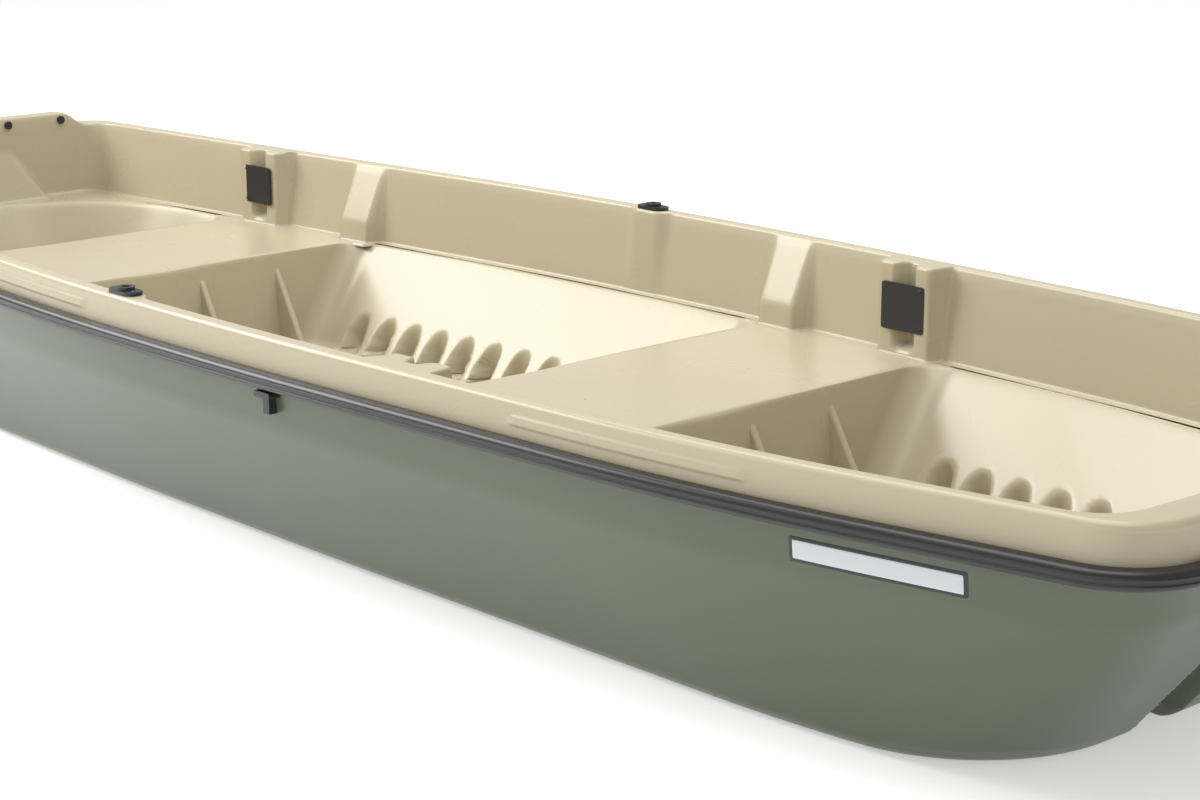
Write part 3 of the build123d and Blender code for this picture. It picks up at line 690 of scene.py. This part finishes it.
# %% Rub rail
def rail_grid():
    """The rail's closed section, as inset and height pairs, swept round the boat."""
    width, radius = 0.022, 0.009
    low, high = rail_low.z, rail_high.z
    bend = list(zip(*arc(radius, 7, 180, 90)))
    upper = [(radius + dx, high - radius + dz) for dx, dz in bend]
    lower = [(radius + dx, low + radius - dz) for dx, dz in bend][::-1]
    face = [(0.0007 * (1 - abs(t)) ** 0.5, (low + high) / 2 + t * 0.0050)
            for t in (-1, -0.4, 0, 0.4, 1)]
    top_run = [(0.015, high), (width - 0.001, high), (width, high - 0.001), (width, seam + 0.005)]
    low_run = [(width, seam - 0.005), (width, low + 0.001), (width - 0.001, low), (0.015, low)]
    section = lower + face + upper + top_run + low_run
    grid = []
    for shift, z in section + section[:1]:
        radii = radii_of(rail_stern_radius - shift, rail_bow_radius - shift)
        loop = ring(even_inset(rail_corners, shift), radii, loop_counts)
        grid.append(np.column_stack([loop, np.full(len(loop), z)]))
    return np.array(grid)


grid_piece("rail_band", rail_grid(), [vinyl], ("rub_rail",))

# %% [markdown]
# Small parts that the sheet carries. The blank name label is a printed film: a black
# border with a pale field on it, laid on the topsides. Pan-head screws hold the oarlock
# sockets and the rod pads; each is a low dome with its slot left out at this size.


# %% Labels and screws
band = hull_rows[:band_rows]


def topsides_y(x, z):
    """Half the beam of the upright band at stations and heights, from the hull's own rows."""
    heights = band[:, 0, 2]
    beams = []
    for row in band:
        port = row[(row[:, 1] > 0.2) & (row[:, 0] > 1.0)]
        order = np.argsort(port[:, 0])
        beams.append(np.interp(x, port[order, 0], port[order, 1]))
    beams = np.array(beams)
    share = np.interp(z, heights[::-1], np.arange(len(heights))[::-1])
    low = np.clip(np.floor(share).astype(int), 0, len(heights) - 2)
    part = share - low
    column = np.arange(len(x))
    return beams[low, column] * (1 - part) + beams[low + 1, column] * part


def film(name, box, margin, proud, side, finish):
    """A thin film on the topsides: a grid over a rounded strip, proud of the hull."""
    low, high = box
    u, v = np.meshgrid(np.linspace(-1, 1, 60), np.linspace(-1, 1, 14))
    half_x = (high.x - low.x) / 2 - margin
    half_z = (high.z - low.z) / 2 - margin
    ends = 1 - 0.012 * np.abs(v) ** 6
    x = (low.x + high.x) / 2 + half_x * u * ends
    z = (low.z + high.z) / 2 + half_z * v
    y = topsides_y(x.ravel(), z.ravel()).reshape(x.shape) + proud
    edge = (np.abs(u) == 1) | (np.abs(v) == 1)
    y = np.where(edge, y - proud - 0.0003, y)
    return grid_piece(name, np.stack([x, side * y, z], -1), [finish],
                      closed=False,
                      nodes=("name_label_" + ("port" if side > 0 else "starboard"),)
                      if margin == 0 else ())


for side, end in ((1, "port"), (-1, "starboard")):
    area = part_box("name_label_" + end)
    film("label_border_" + end, area, 0.0, 0.0010, side, black)
    film("label_field_" + end, area, 0.0035, 0.0013, side, paper)


def screw(name, centre, normal, radius=0.0035):
    """A pan head: height falls off as the fourth power of the distance from its middle."""
    ring_share = np.linspace(0.02, 1, 8)[:, None]
    turn = np.linspace(0, 2 * np.pi, 20, endpoint=False)[None, :]
    grid = np.stack([ring_share * np.cos(turn), ring_share * np.sin(turn),
                     0.55 * (1 - ring_share ** 4) + 0 * turn], -1) * radius
    facing = Vector(normal).to_track_quat("Z", "Y").to_matrix()
    grid = grid @ np.array(facing).T + np.array(centre)
    return grid_piece(name, grid, [black])


for end, sign in (("port", 1), ("starboard", -1)):
    low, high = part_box("oarlock_socket_" + end)
    for number, x in enumerate((low.x + 0.010, high.x - 0.010)):
        screw(f"socket_screw_{end}_{number + 1}",
              (x, (low.y + high.y) / 2, gunwale + 0.006), (0, 0, 1))
    for title in ("aft", "forward"):
        low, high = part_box(f"rod_pad_{title}_{end}")
        face = low.y if sign > 0 else high.y
        for number, x in enumerate((low.x + 0.008, high.x - 0.008)):
            for place, z in enumerate((low.z + 0.008, high.z - 0.008)):
                screw(f"pad_screw_{title}_{end}_{2 * number + place + 1}",
                      (x, face - sign * 0.0001, z), (0, -sign, 0), 0.003)

# %% [markdown]
# Light and ground: a wide soft lamp overhead, as in a studio where a boat is lit through a
# cloth, a stronger one off the starboard quarter, a weak one low on the viewer's side, and
# a pale floor that runs to a light backdrop.


# %% Studio
def lamp(name, size, power, place, target):
    """A square soft lamp of one size and power, aimed at a point."""
    light = bpy.data.lights.new(name, "AREA")
    light.shape = "RECTANGLE"
    light.size, light.size_y = size
    light.energy = power
    holder = bpy.data.objects.new(name, light)
    holder.location = place
    aim = Vector(target) - Vector(place)
    holder.rotation_euler = aim.to_track_quat("-Z", "Y").to_euler()
    bpy.context.scene.collection.objects.link(holder)


lamp("overhead", (4.5, 2.4), 95, (0.2, 0.2, 3.0), (0, 0, 0.2))
lamp("quarter", (3.2, 2.4), 190, (-3.4, -2.2, 3.0), (0.2, 0.4, 0.15))
lamp("front_fill", (4.0, 1.2), 12, (2.0, -4.0, 0.9), (0, 0, 0.2))

world = bpy.data.worlds.new("studio")
bpy.context.scene.world = world
world.use_nodes = True
world.node_tree.nodes["Background"].inputs["Color"].default_value = (1, 1, 1, 1)
world.node_tree.nodes["Background"].inputs["Strength"].default_value = 0.60

ground_material = bpy.data.materials.new("pale_floor")
ground_material.use_nodes = True
skin = ground_material.node_tree.nodes["Principled BSDF"]
skin.inputs["Base Color"].default_value = (0.90, 0.90, 0.90, 1)
skin.inputs["Roughness"].default_value = 0.9
skin.inputs["Emission Color"].default_value = (1, 1, 1, 1)
skin.inputs["Emission Strength"].default_value = 0.42
ground = bpy.data.meshes.new("studio_floor")
span = 60.0
ground.from_pydata([(-span, -span, 0), (span, -span, 0), (span, span, 0), (-span, span, 0)], [],
                   [(0, 1, 2, 3)])
ground.materials.append(ground_material)
studio_floor = bpy.data.objects.new("studio_floor", ground)
bpy.context.scene.collection.objects.link(studio_floor)
studio_floor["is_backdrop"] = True

# %% [markdown]
# The camera stands off the starboard bow, a little above the gunwale.

# %% Camera
azimuth, elevation = math.radians(47.5), math.radians(14.2)
lens = bpy.data.cameras.new("view")
lens.sensor_width = 36.0
lens.lens = 75.3
camera = bpy.data.objects.new("view", lens)
back = Vector((math.sin(azimuth) * math.cos(elevation), -math.cos(azimuth) * math.cos(elevation),
               math.sin(elevation)))
right = Vector((math.cos(azimuth), math.sin(azimuth), 0))
up = back.cross(right)
camera.matrix_world = Matrix.Translation((3.302, -2.626, 1.187)) @ Matrix(
    (right, up, back)).transposed().to_4x4()
bpy.context.scene.collection.objects.link(camera)
bpy.context.scene.camera = camera
bpy.context.scene.view_settings.view_transform = "Standard"

# %% [markdown]
# What is measured: the box of the boat now.

# %% Measure and finish
low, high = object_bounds()
print("size", list(low), list(high))
